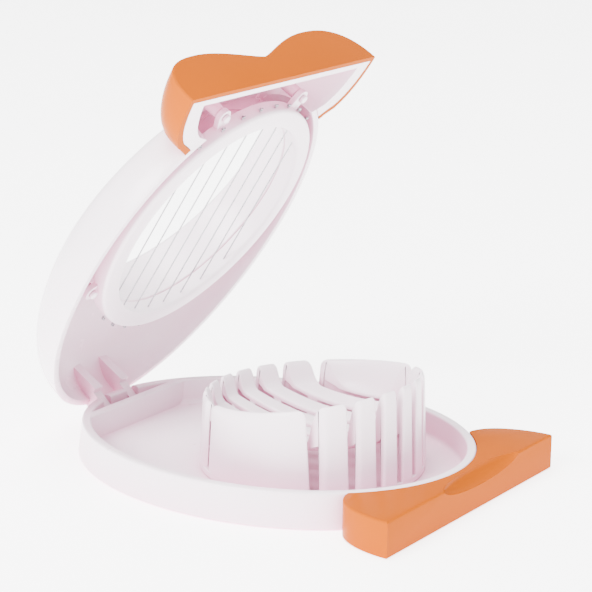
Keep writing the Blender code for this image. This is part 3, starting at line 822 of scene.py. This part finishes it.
def make_nose_lining():
    """White lining of the lobed nose, seen inside the orange cap."""
    lining = make_object("nose_lining", nose_solid(LIP_WALL + FIT))
    combine(lining, nose_cavity(), "DIFFERENCE")
    combine(lining, dome_outer(), "DIFFERENCE")
    swing_open(lining)
    return lining


def hinge_lug(side):
    """Upright plate inside the lid's rear, ending in an eye round the pin."""
    eye = arc((HINGE_Y, HINGE_Z), LUG_EYE_RADIUS, -180, 0, 16)
    wall_y = OVAL_CENTRE_Y + OVAL_REAR - LID_INSET - LID_WALL / 2
    plate = [
        (wall_y, LID_RIM_Z + LUG_WALL_RISE),
        (wall_y - LUG_WALL_LEAN, LID_RIM_Z + LUG_WALL_TOP),
        (LUG_PLATE_Y, LUG_PLATE_TOP),
        (LUG_PLATE_Y, LID_RIM_Z + LUG_FOOT_RISE),
        (LUG_NECK_Y, LID_RIM_Z + LUG_FOOT_RISE),
    ]
    x0 = side * LUG_X - LUG_THICKNESS / 2
    return side_prism(eye + plate, x0, x0 + LUG_THICKNESS)


def make_boss(number, place):
    """Post inside the lid, above one ear of the cutting ring."""
    x, y = place
    top = BOSS_TOP_FRONT if y < 0 else BOSS_TOP_REAR
    foot = EAR_TOP_Z + PEG_GAP
    hole = PEG_RADIUS + HOLE_CLEARANCE
    profile = [
        (hole, foot + BOSS_HOLE_DEPTH),
        (hole, foot),
        (BOSS_RADIUS - BOSS_EDGE, foot),
        (BOSS_RADIUS, foot + BOSS_EDGE),
        (BOSS_RADIUS + BOSS_EDGE, top),
    ]
    return make_object(f"boss_{number}", turned(profile, (x, y)), swing=True)


# ---- lips -----------------------------------------------------------------------------------------

def lip_half_width(y):
    """Half width of both lips, which are widest at their straight front."""
    t = (y - LIP_FRONT_Y) / (LIP_ROOT_Y - LIP_FRONT_Y)
    if t >= 1:
        return LIP_ROOT_HALF_WIDTH - LIP_REAR_TAPER * (y - LIP_ROOT_Y)
    return LIP_ROOT_HALF_WIDTH + (LIP_HALF_WIDTH - LIP_ROOT_HALF_WIDTH) * math.sqrt(1 - t * t)


def lobe_height(share):
    """Height share of the lobed front, for a place from the middle (0) to the corner (1)."""
    peak = LOBE_X / LIP_HALF_WIDTH
    valley = (NOTCH_Z - LID_RIM_Z) / (LOBE_Z - LID_RIM_Z)
    if share <= peak:
        return valley + (1 - valley) * math.sin(math.pi / 2 * share / peak) ** LOBE_INNER_POWER
    along = min((share - peak) / (1 - peak), 1.0)
    return (1 - along ** LOBE_POWER) ** (1 / LOBE_POWER)


def lobe_shares():
    """Places from the middle (0) to the corner (1), crowded where the outline bends."""
    peak = LOBE_X / LIP_HALF_WIDTH
    inner = [peak * i / LIP_SIDE_STEPS for i in range(LIP_SIDE_STEPS + 1)]
    outer = []
    for i in range(1, LIP_SIDE_STEPS + 1):
        turn = math.pi / 2 * i / LIP_SIDE_STEPS
        outer.append(peak + (1 - peak) * math.sin(turn) ** (2 / LOBE_POWER))
    return inner + outer


def nose_height_factor(y):
    """Share of its full height that the nose has at one place along Y."""
    t = (y - LIP_FRONT_Y) / (LIP_REAR_Y - LIP_FRONT_Y)
    return 1.0 - NOSE_FALL * t ** 2


def nose_section(y, inset, floor_z, side_wall=0.0, curl=0.0):
    """Cross-section of the upper lip at one place along Y; curl rounds its front edge."""
    half = lip_half_width(y + inset) - inset - side_wall - curl
    height = (LOBE_Z - LID_RIM_Z) * nose_height_factor(y)
    right = []
    for share in lobe_shares():
        z = LID_RIM_Z + height * lobe_height(share) - inset - curl
        right.append((share * half, y, max(z, LID_RIM_Z + LEAST_HEIGHT)))
    left = [(-x, y, z) for x, _, z in reversed(right[1:])]
    return left + right + [(half, y, floor_z), (-half, y, floor_z)]


def nose_solid(inset, below=0.0, side_wall=0.0, edge=0.0):
    """Lobed solid of the upper lip, shrunk by inset and side_wall, reaching below the lid's rim.

    edge is the radius of its rounded front edge.
    """
    front = LIP_FRONT_Y + inset
    floor_z = LID_RIM_Z - below
    sections = []
    for i in range(CURL_STEPS if edge else 0):
        turn = math.pi / 2 * i / CURL_STEPS
        y = front + edge * (1 - math.cos(turn))
        sections.append(nose_section(y, inset, floor_z, side_wall, edge * (1 - math.sin(turn))))
    start = front + edge
    for i in range(LIP_SECTIONS):
        turn = math.pi / 2 * i / (LIP_SECTIONS - 1)
        y = start + (LIP_REAR_Y - start) * (1 - math.cos(turn))
        sections.append(nose_section(y, inset, floor_z, side_wall))
    return loft(sections)


def make_cap():
    """Orange lobed cap over the nose."""
    cap = make_object("lobed_cap", nose_solid(0.0, edge=LIP_EDGE))
    combine(cap, nose_solid(LIP_WALL, NOSE_CUT_DEPTH), "DIFFERENCE")
    combine(cap, dome_outer(FIT), "DIFFERENCE")
    swing_open(cap)
    return cap


def make_lower_lip():
    """Orange lower lip: rounded edges, fitted to the tray, with a shallow finger scoop."""
    edge = LOWER_LIP_EDGE
    layers = [(edge - x, z) for x, z in reversed(arc((0, edge), edge, 0, -90, 4))]
    layers += [(edge - x, z) for x, z in arc((0, TRAY_HEIGHT - edge), edge, 0, 90, 4)]
    rings = [[(x, y, z) for x, y in lip_plan(inset)] for inset, z in layers]
    lip = make_object("lower_lip_body", loft(rings))
    combine(lip, tray_outer(FIT), "DIFFERENCE")
    combine(lip, scoop(), "DIFFERENCE")
    return lip


def lip_plan(inset):
    """Plan outline of the lower lip, moved inwards."""
    right = []
    for i in range(LIP_PLAN_STEPS + 1):
        turn = math.pi / 2 * i / LIP_PLAN_STEPS
        y = LIP_FRONT_Y + inset + (LIP_ROOT_Y - LIP_FRONT_Y - inset) * math.sin(turn)
        right.append((lip_half_width(y) - inset, y))
    return [(-x, y) for x, y in reversed(right)] + right


def tray_outer(extra):
    """Cutter with the tray's outer face, moved outwards."""
    return loft([
        oval_ring(-TRAY_FLARE - extra, -OVERLAP),
        oval_ring(-TRAY_FLARE - extra, TRAY_EDGE),
        oval_ring(-extra, TRAY_HEIGHT - TRAY_EDGE),
        oval_ring(-extra, TRAY_HEIGHT + OVERLAP),
    ])


def scoop():
    """Cutter for the shallow finger scoop: a flat ellipsoid on the lip's front top edge."""
    bm = bmesh.new()
    bmesh.ops.create_uvsphere(bm, u_segments=64, v_segments=32, radius=1.0)
    bmesh.ops.rotate(bm, matrix=Matrix.Rotation(math.pi / 2, 3, "Y"), verts=bm.verts)
    bmesh.ops.scale(bm, vec=SCOOP_SIZE, verts=bm.verts)
    bmesh.ops.translate(bm, vec=(SCOOP_X, LIP_FRONT_Y, TRAY_HEIGHT), verts=bm.verts)
    return bm


# ---- cutting ring, wires and pegs -----------------------------------------------------------------

def make_ring():
    """Round frame of the wires, with rounded lower edges and four ears."""
    low = RING_FOOT_Z
    inner = RING_INNER_EDGE
    outer = RING_OUTER_EDGE
    flank = low + RING_BAND_RISE
    profile = [(OPENING_RADIUS, RING_TOP_Z)]
    profile += arc((OPENING_RADIUS + inner, low + inner), inner, 180, 255, 6)
    profile += [(RING_BAND_RADIUS, low), (RING_OUTER_RADIUS - RING_FLANK, flank)]
    profile += arc((RING_OUTER_RADIUS - outer, flank + outer), outer, -75, 0, 6)
    profile += [(RING_OUTER_RADIUS, RING_TOP_Z)]
    rings = []
    for radius, z in profile:
        ring = []
        for i in range(OUTLINE_STEPS):
            angle = 2 * math.pi * i / OUTLINE_STEPS
            ring.append((radius * math.sin(angle), OPENING_Y + radius * math.cos(angle), z))
        rings.append(ring)
    ring = make_object("wire_frame", loft(rings, closed=True))
    for place in PEG_PLACES:
        combine(ring, ring_ear(place), "UNION")
        combine(ring, ear_hole(place), "DIFFERENCE")
    swing_open(ring)
    return ring


def ear_hole(place):
    """Cutter for the peg's hole through an ear."""
    radius = PEG_RADIUS + HOLE_CLEARANCE
    return turned([(radius, EAR_BOTTOM_Z - HOLE_REACH), (radius, EAR_TOP_Z + HOLE_REACH)], place)


def ring_ear(place):
    """Flat ear of the cutting ring, pointing away from its centre."""
    x, y = place
    outwards = Vector((x, y - OPENING_Y)).normalized()
    across = Vector((-outwards.y, outwards.x)) * EAR_RADIUS
    centre = Vector((x, y))
    root = Vector((0, OPENING_Y)) + outwards * (RING_OUTER_RADIUS - EAR_ROOT_DEPTH)
    outline = [root - across, root + across]
    for i in range(EAR_STEPS + 1):
        angle = math.pi * i / EAR_STEPS
        outline.append(centre + across * math.cos(angle) + outwards * EAR_RADIUS * math.sin(angle))
    return prism([tuple(point) for point in outline], EAR_BOTTOM_Z, EAR_TOP_Z)


def make_peg(number, place):
    """Headed peg with a softly rounded head, which points away from the lid."""
    head_top = EAR_BOTTOM_Z - PEG_GAP
    low = head_top - PEG_HEAD_HEIGHT
    edge = PEG_HEAD_EDGE
    profile = [(PEG_HEAD_RADIUS * CROWN_FLAT, low), (PEG_HEAD_RADIUS * CROWN_END, low + PEG_HEAD_CROWN)]
    profile += arc((PEG_HEAD_RADIUS - edge, low + PEG_HEAD_EDGE_RISE), edge, -80, 0, 4)
    profile += [(PEG_HEAD_RADIUS, head_top), (PEG_RADIUS, head_top)]
    profile += [(PEG_RADIUS, EAR_BOTTOM_Z + PEG_LENGTH)]
    return make_object(f"headed_peg_{number}", turned(profile, place, 28), swing=True)


def make_wire(number, x):
    """One taut wire with a short coil round each end, at the ring's outer face."""
    reach = math.sqrt((RING_OUTER_RADIUS + WIRE_PAST_RING) ** 2 - x * x)
    points = [(x, OPENING_Y - reach, WIRE_Z), (x, OPENING_Y, WIRE_Z), (x, OPENING_Y + reach, WIRE_Z)]
    pieces = [make_object("span", tube(points, WIRE_RADIUS), swing=True)]
    for end in (-1, 1):
        coil = tube(coil_points(x, reach, end), WIRE_RADIUS * COIL_THICKENING, 8)
        pieces.append(make_object("coil", coil, swing=True))
    return join(pieces, f"cutting_wire_{number}")


def coil_points(x, reach, end):
    """Helix round one end of a wire."""
    points = []
    total = COIL_TURNS * COIL_STEPS
    for i in range(total + 1):
        angle = 2 * math.pi * i / COIL_STEPS
        along = OPENING_Y + end * (reach - COIL_START + COIL_LENGTH * i / total)
        points.append((x + COIL_RADIUS * math.cos(angle), along, WIRE_Z + COIL_RADIUS * math.sin(angle)))
    return points


# ---- materials ------------------------------------------------------------------------------------

def new_material(name):
    """New node material, with its nodes, links and shader."""
    material = bpy.data.materials.new(name)
    material.use_nodes = True
    nodes = material.node_tree.nodes
    shader = nodes["Principled BSDF"]
    return material, nodes, material.node_tree.links, shader


def add_noise(nodes, links, scale, detail):
    """Noise over the object's own coordinates."""
    coordinates = nodes.new("ShaderNodeTexCoord")
    noise = nodes.new("ShaderNodeTexNoise")
    noise.inputs["Scale"].default_value = scale
    noise.inputs["Detail"].default_value = detail
    links.new(coordinates.outputs["Object"], noise.inputs["Vector"])
    return noise


def add_ramp(nodes, links, source, low, high):
    """Colour ramp between two colours over the middle of a noise's values."""
    ramp = nodes.new("ShaderNodeValToRGB")
    ramp.color_ramp.elements[0].position = RAMP_START
    ramp.color_ramp.elements[1].position = RAMP_END
    ramp.color_ramp.elements[0].color = (*low, 1.0)
    ramp.color_ramp.elements[1].color = (*high, 1.0)
    links.new(source, ramp.inputs["Fac"])
    return ramp


def add_range(nodes, links, source, low, high):
    """Map a 0 to 1 value onto a range."""
    spread = nodes.new("ShaderNodeMapRange")
    spread.inputs["To Min"].default_value = low
    spread.inputs["To Max"].default_value = high
    links.new(source, spread.inputs["Value"])
    return spread


def moulded_plastic(name, colour, shade, painted_shade_colour, roughness, ior, scatter=0.0):
    """Injection-moulded plastic: faint cloudiness, painted shade that deepens the colour in hollows,
    ripple, uneven gloss.
    """
    material, nodes, links, shader = new_material(name)
    cloud = add_noise(nodes, links, CLOUD_SCALE, 3.0)
    ramp = add_ramp(nodes, links, cloud.outputs["Fac"], shade, colour)
    # painted shade: the colour is drawn towards the shade colour where ambient occlusion finds a hollow
    blend = add_painted_recess_shade(nodes, links, painted_shade_colour, ramp)
    links.new(blend.outputs["Result"], shader.inputs["Base Color"])
    smear = add_noise(nodes, links, GLOSS_SCALE, 5.0)
    low = roughness - GLOSS_SPREAD
    high = roughness + GLOSS_SPREAD
    gloss = add_range(nodes, links, smear.outputs["Fac"], low, high)
    links.new(gloss.outputs["Result"], shader.inputs["Roughness"])
    ripple = add_noise(nodes, links, RIPPLE_SCALE, 2.0)
    relief = nodes.new("ShaderNodeBump")
    relief.inputs["Strength"].default_value = RIPPLE_STRENGTH
    relief.inputs["Distance"].default_value = RIPPLE_DEPTH
    links.new(ripple.outputs["Fac"], relief.inputs["Height"])
    links.new(relief.outputs["Normal"], shader.inputs["Normal"])
    shader.inputs["Subsurface Weight"].default_value = scatter
    shader.inputs["Subsurface Radius"].default_value = SCATTER_RADIUS
    shader.inputs["Subsurface Scale"].default_value = 1.0
    shader.inputs["IOR"].default_value = ior
    return material


def add_painted_recess_shade(nodes, links, painted_shade_colour, ramp):
    """Paint shade: blend a ramp's colour into the shade colour where ambient occlusion finds the surface
    closely surrounded.
    """
    shade_occlusion = nodes.new("ShaderNodeAmbientOcclusion")
    shade_occlusion.samples = PAINTED_SHADE_SAMPLES
    shade_occlusion.inputs["Distance"].default_value = PAINTED_SHADE_DEPTH
    share = add_range(nodes, links, shade_occlusion.outputs["AO"], 0.0, 1.0)
    share.inputs["From Min"].default_value = PAINTED_SHADE_RANGE[0]
    share.inputs["From Max"].default_value = PAINTED_SHADE_RANGE[1]
    blend = nodes.new("ShaderNodeMix")
    blend.data_type = "RGBA"
    blend.inputs["A"].default_value = (*painted_shade_colour, 1.0)
    links.new(share.outputs["Result"], blend.inputs["Factor"])
    links.new(ramp.outputs["Color"], blend.inputs["B"])
    return blend


def drawn_steel(name, roughness):
    """Drawn steel: fine mottling and slightly uneven gloss."""
    material, nodes, links, shader = new_material(name)
    streak = add_noise(nodes, links, STREAK_SCALE, 2.0)
    ramp = add_ramp(nodes, links, streak.outputs["Fac"], STEEL_DARK, STEEL_LIGHT)
    links.new(ramp.outputs["Color"], shader.inputs["Base Color"])
    low = roughness - STREAK_SPREAD
    high = roughness + STREAK_SPREAD
    gloss = add_range(nodes, links, streak.outputs["Fac"], low, high)
    links.new(gloss.outputs["Result"], shader.inputs["Roughness"])
    shader.inputs["Metallic"].default_value = 1.0
    return material


def plain_floor():
    """Pale floor that glows a little, so that it stays nearly white around the slicer."""
    material, nodes, links, shader = new_material("pale_floor")
    cloud = add_noise(nodes, links, FLOOR_CLOUD_SCALE, 2.0)
    ramp = add_ramp(nodes, links, cloud.outputs["Fac"], FLOOR_DARK, FLOOR_LIGHT)
    links.new(ramp.outputs["Color"], shader.inputs["Base Color"])
    links.new(ramp.outputs["Color"], shader.inputs["Emission Color"])
    shader.inputs["Emission Strength"].default_value = FLOOR_GLOW
    shader.inputs["Roughness"].default_value = FLOOR_ROUGHNESS
    return material


def dress(piece, material):
    """Give a piece one material."""
    piece.data.materials.clear()
    piece.data.materials.append(material)


# ---- stage ----------------------------------------------------------------------------------------

def add_light(name, place, size, energy):
    """Round white area light aimed at the slicer."""
    light = bpy.data.lights.new(name, "AREA")
    light.shape = "DISK"
    light.size = size
    light.energy = energy
    item = bpy.data.objects.new(name, light)
    bpy.context.scene.collection.objects.link(item)
    item.location = place
    aim = Vector(LIGHT_TARGET) - Vector(place)
    item.rotation_euler = aim.to_track_quat("-Z", "Y").to_euler()


def add_camera():
    """Long lens from the front left, a little above the slicer."""
    azimuth = math.radians(CAMERA_AZIMUTH)
    elevation = math.radians(CAMERA_ELEVATION)
    roll = math.radians(CAMERA_ROLL)
    level = math.cos(elevation)
    back = Vector((math.sin(azimuth) * level, -math.cos(azimuth) * level, math.sin(elevation)))
    right = Vector((math.cos(azimuth), math.sin(azimuth), 0))
    up = back.cross(right)
    turned_right = math.cos(roll) * right + math.sin(roll) * up
    turned_up = -math.sin(roll) * right + math.cos(roll) * up
    place = Vector(CAMERA_PLACE)
    camera = bpy.data.cameras.new("camera")
    camera.lens = CAMERA_LENS
    camera.sensor_width = CAMERA_SENSOR
    item = bpy.data.objects.new("camera", camera)
    bpy.context.scene.collection.objects.link(item)
    columns = (turned_right, turned_up, back, place)
    rows = [[column[i] for column in columns] for i in range(3)]
    item.matrix_world = Matrix(rows + [[0, 0, 0, 1]])
    bpy.context.scene.camera = item


def add_stage():
    """Floor, even surrounding light and three soft lamps."""
    bm = bmesh.new()
    bmesh.ops.create_grid(bm, x_segments=2, y_segments=2, size=FLOOR_HALF_SIZE)
    bmesh.ops.translate(bm, vec=(0, 0, -FLOOR_DROP), verts=bm.verts)
    floor = make_object("floor", bm)
    dress(floor, plain_floor())
    world = bpy.data.worlds.new("soft_room")
    world.use_nodes = True
    background = world.node_tree.nodes["Background"]
    background.inputs["Color"].default_value = (1.0, 1.0, 1.0, 1.0)
    background.inputs["Strength"].default_value = WORLD_STRENGTH
    bpy.context.scene.world = world
    add_light("key", KEY_PLACE, KEY_SIZE, KEY_POWER)
    add_light("fill", FILL_PLACE, SOFT_SIZE, FILL_POWER)
    add_light("top", TOP_PLACE, SOFT_SIZE, TOP_POWER)


# ---- assembly -------------------------------------------------------------------------------------

def place(piece, body, slot, material, *nodes):
    """Dress a piece, let it ride on its body and hide the CAD nodes it stands for."""
    dress(piece, material)
    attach(piece, body)
    if nodes:
        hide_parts(*nodes)


def white_plastic(name, roughness):
    """White plastic, with pink painted shade in its hollows."""
    return moulded_plastic(name, WHITE, WHITE_SHADE, PINK_PAINTED_SHADE, roughness, WHITE_IOR, WHITE_SCATTER)


def orange_plastic(name, roughness):
    """Orange plastic of the two lips, with deeper painted shade in its hollows."""
    return moulded_plastic(name, ORANGE, ORANGE_SHADE, ORANGE_PAINTED_SHADE, roughness, ORANGE_IOR)


def add_base():
    """Tray, cradle, lower lip and hinge pin."""
    place(make_tray(), "base", "tray_plastic", white_plastic("tray_white", 0.30), "base_tray")
    place(make_cradle(), "base", "cradle_plastic", white_plastic("cradle_white", 0.32), "egg_cradle")
    place(make_lower_lip(), "base", "lower_lip_plastic", orange_plastic("lower_orange", 0.18), "lower_lip")
    frame["nodes"]["hinge_pin"].material_slots[0].material = drawn_steel("pin_steel", 0.3)


def add_lid():
    """Dome, nose, cap, ring, bosses, pegs and wires."""
    lid_white = white_plastic("lid_white", 0.26)
    ring_white = white_plastic("ring_white", 0.34)
    wire_steel = drawn_steel("wire_steel", 0.28)
    place(make_dome(), "lid", "lid_plastic", lid_white, "lid_shell")
    place(make_nose_lining(), "lid", "lid_plastic", lid_white)
    place(make_cap(), "lid", "upper_lip_plastic", orange_plastic("upper_orange", 0.22), "upper_lip")
    place(make_ring(), "lid", "ring_plastic", ring_white, "cutting_ring")
    for number, spot in enumerate(PEG_PLACES, start=1):
        place(make_boss(number, spot), "lid", "lid_plastic", lid_white)
        place(make_peg(number, spot), "lid", "peg_plastic", ring_white, f"ring_peg_{number}")
    for number, x in enumerate(wire_places(), start=1):
        place(make_wire(number, x), "lid", "wire_steel", wire_steel, f"slicing_wire_{number}")


add_base()
add_lid()
add_stage()
add_camera()
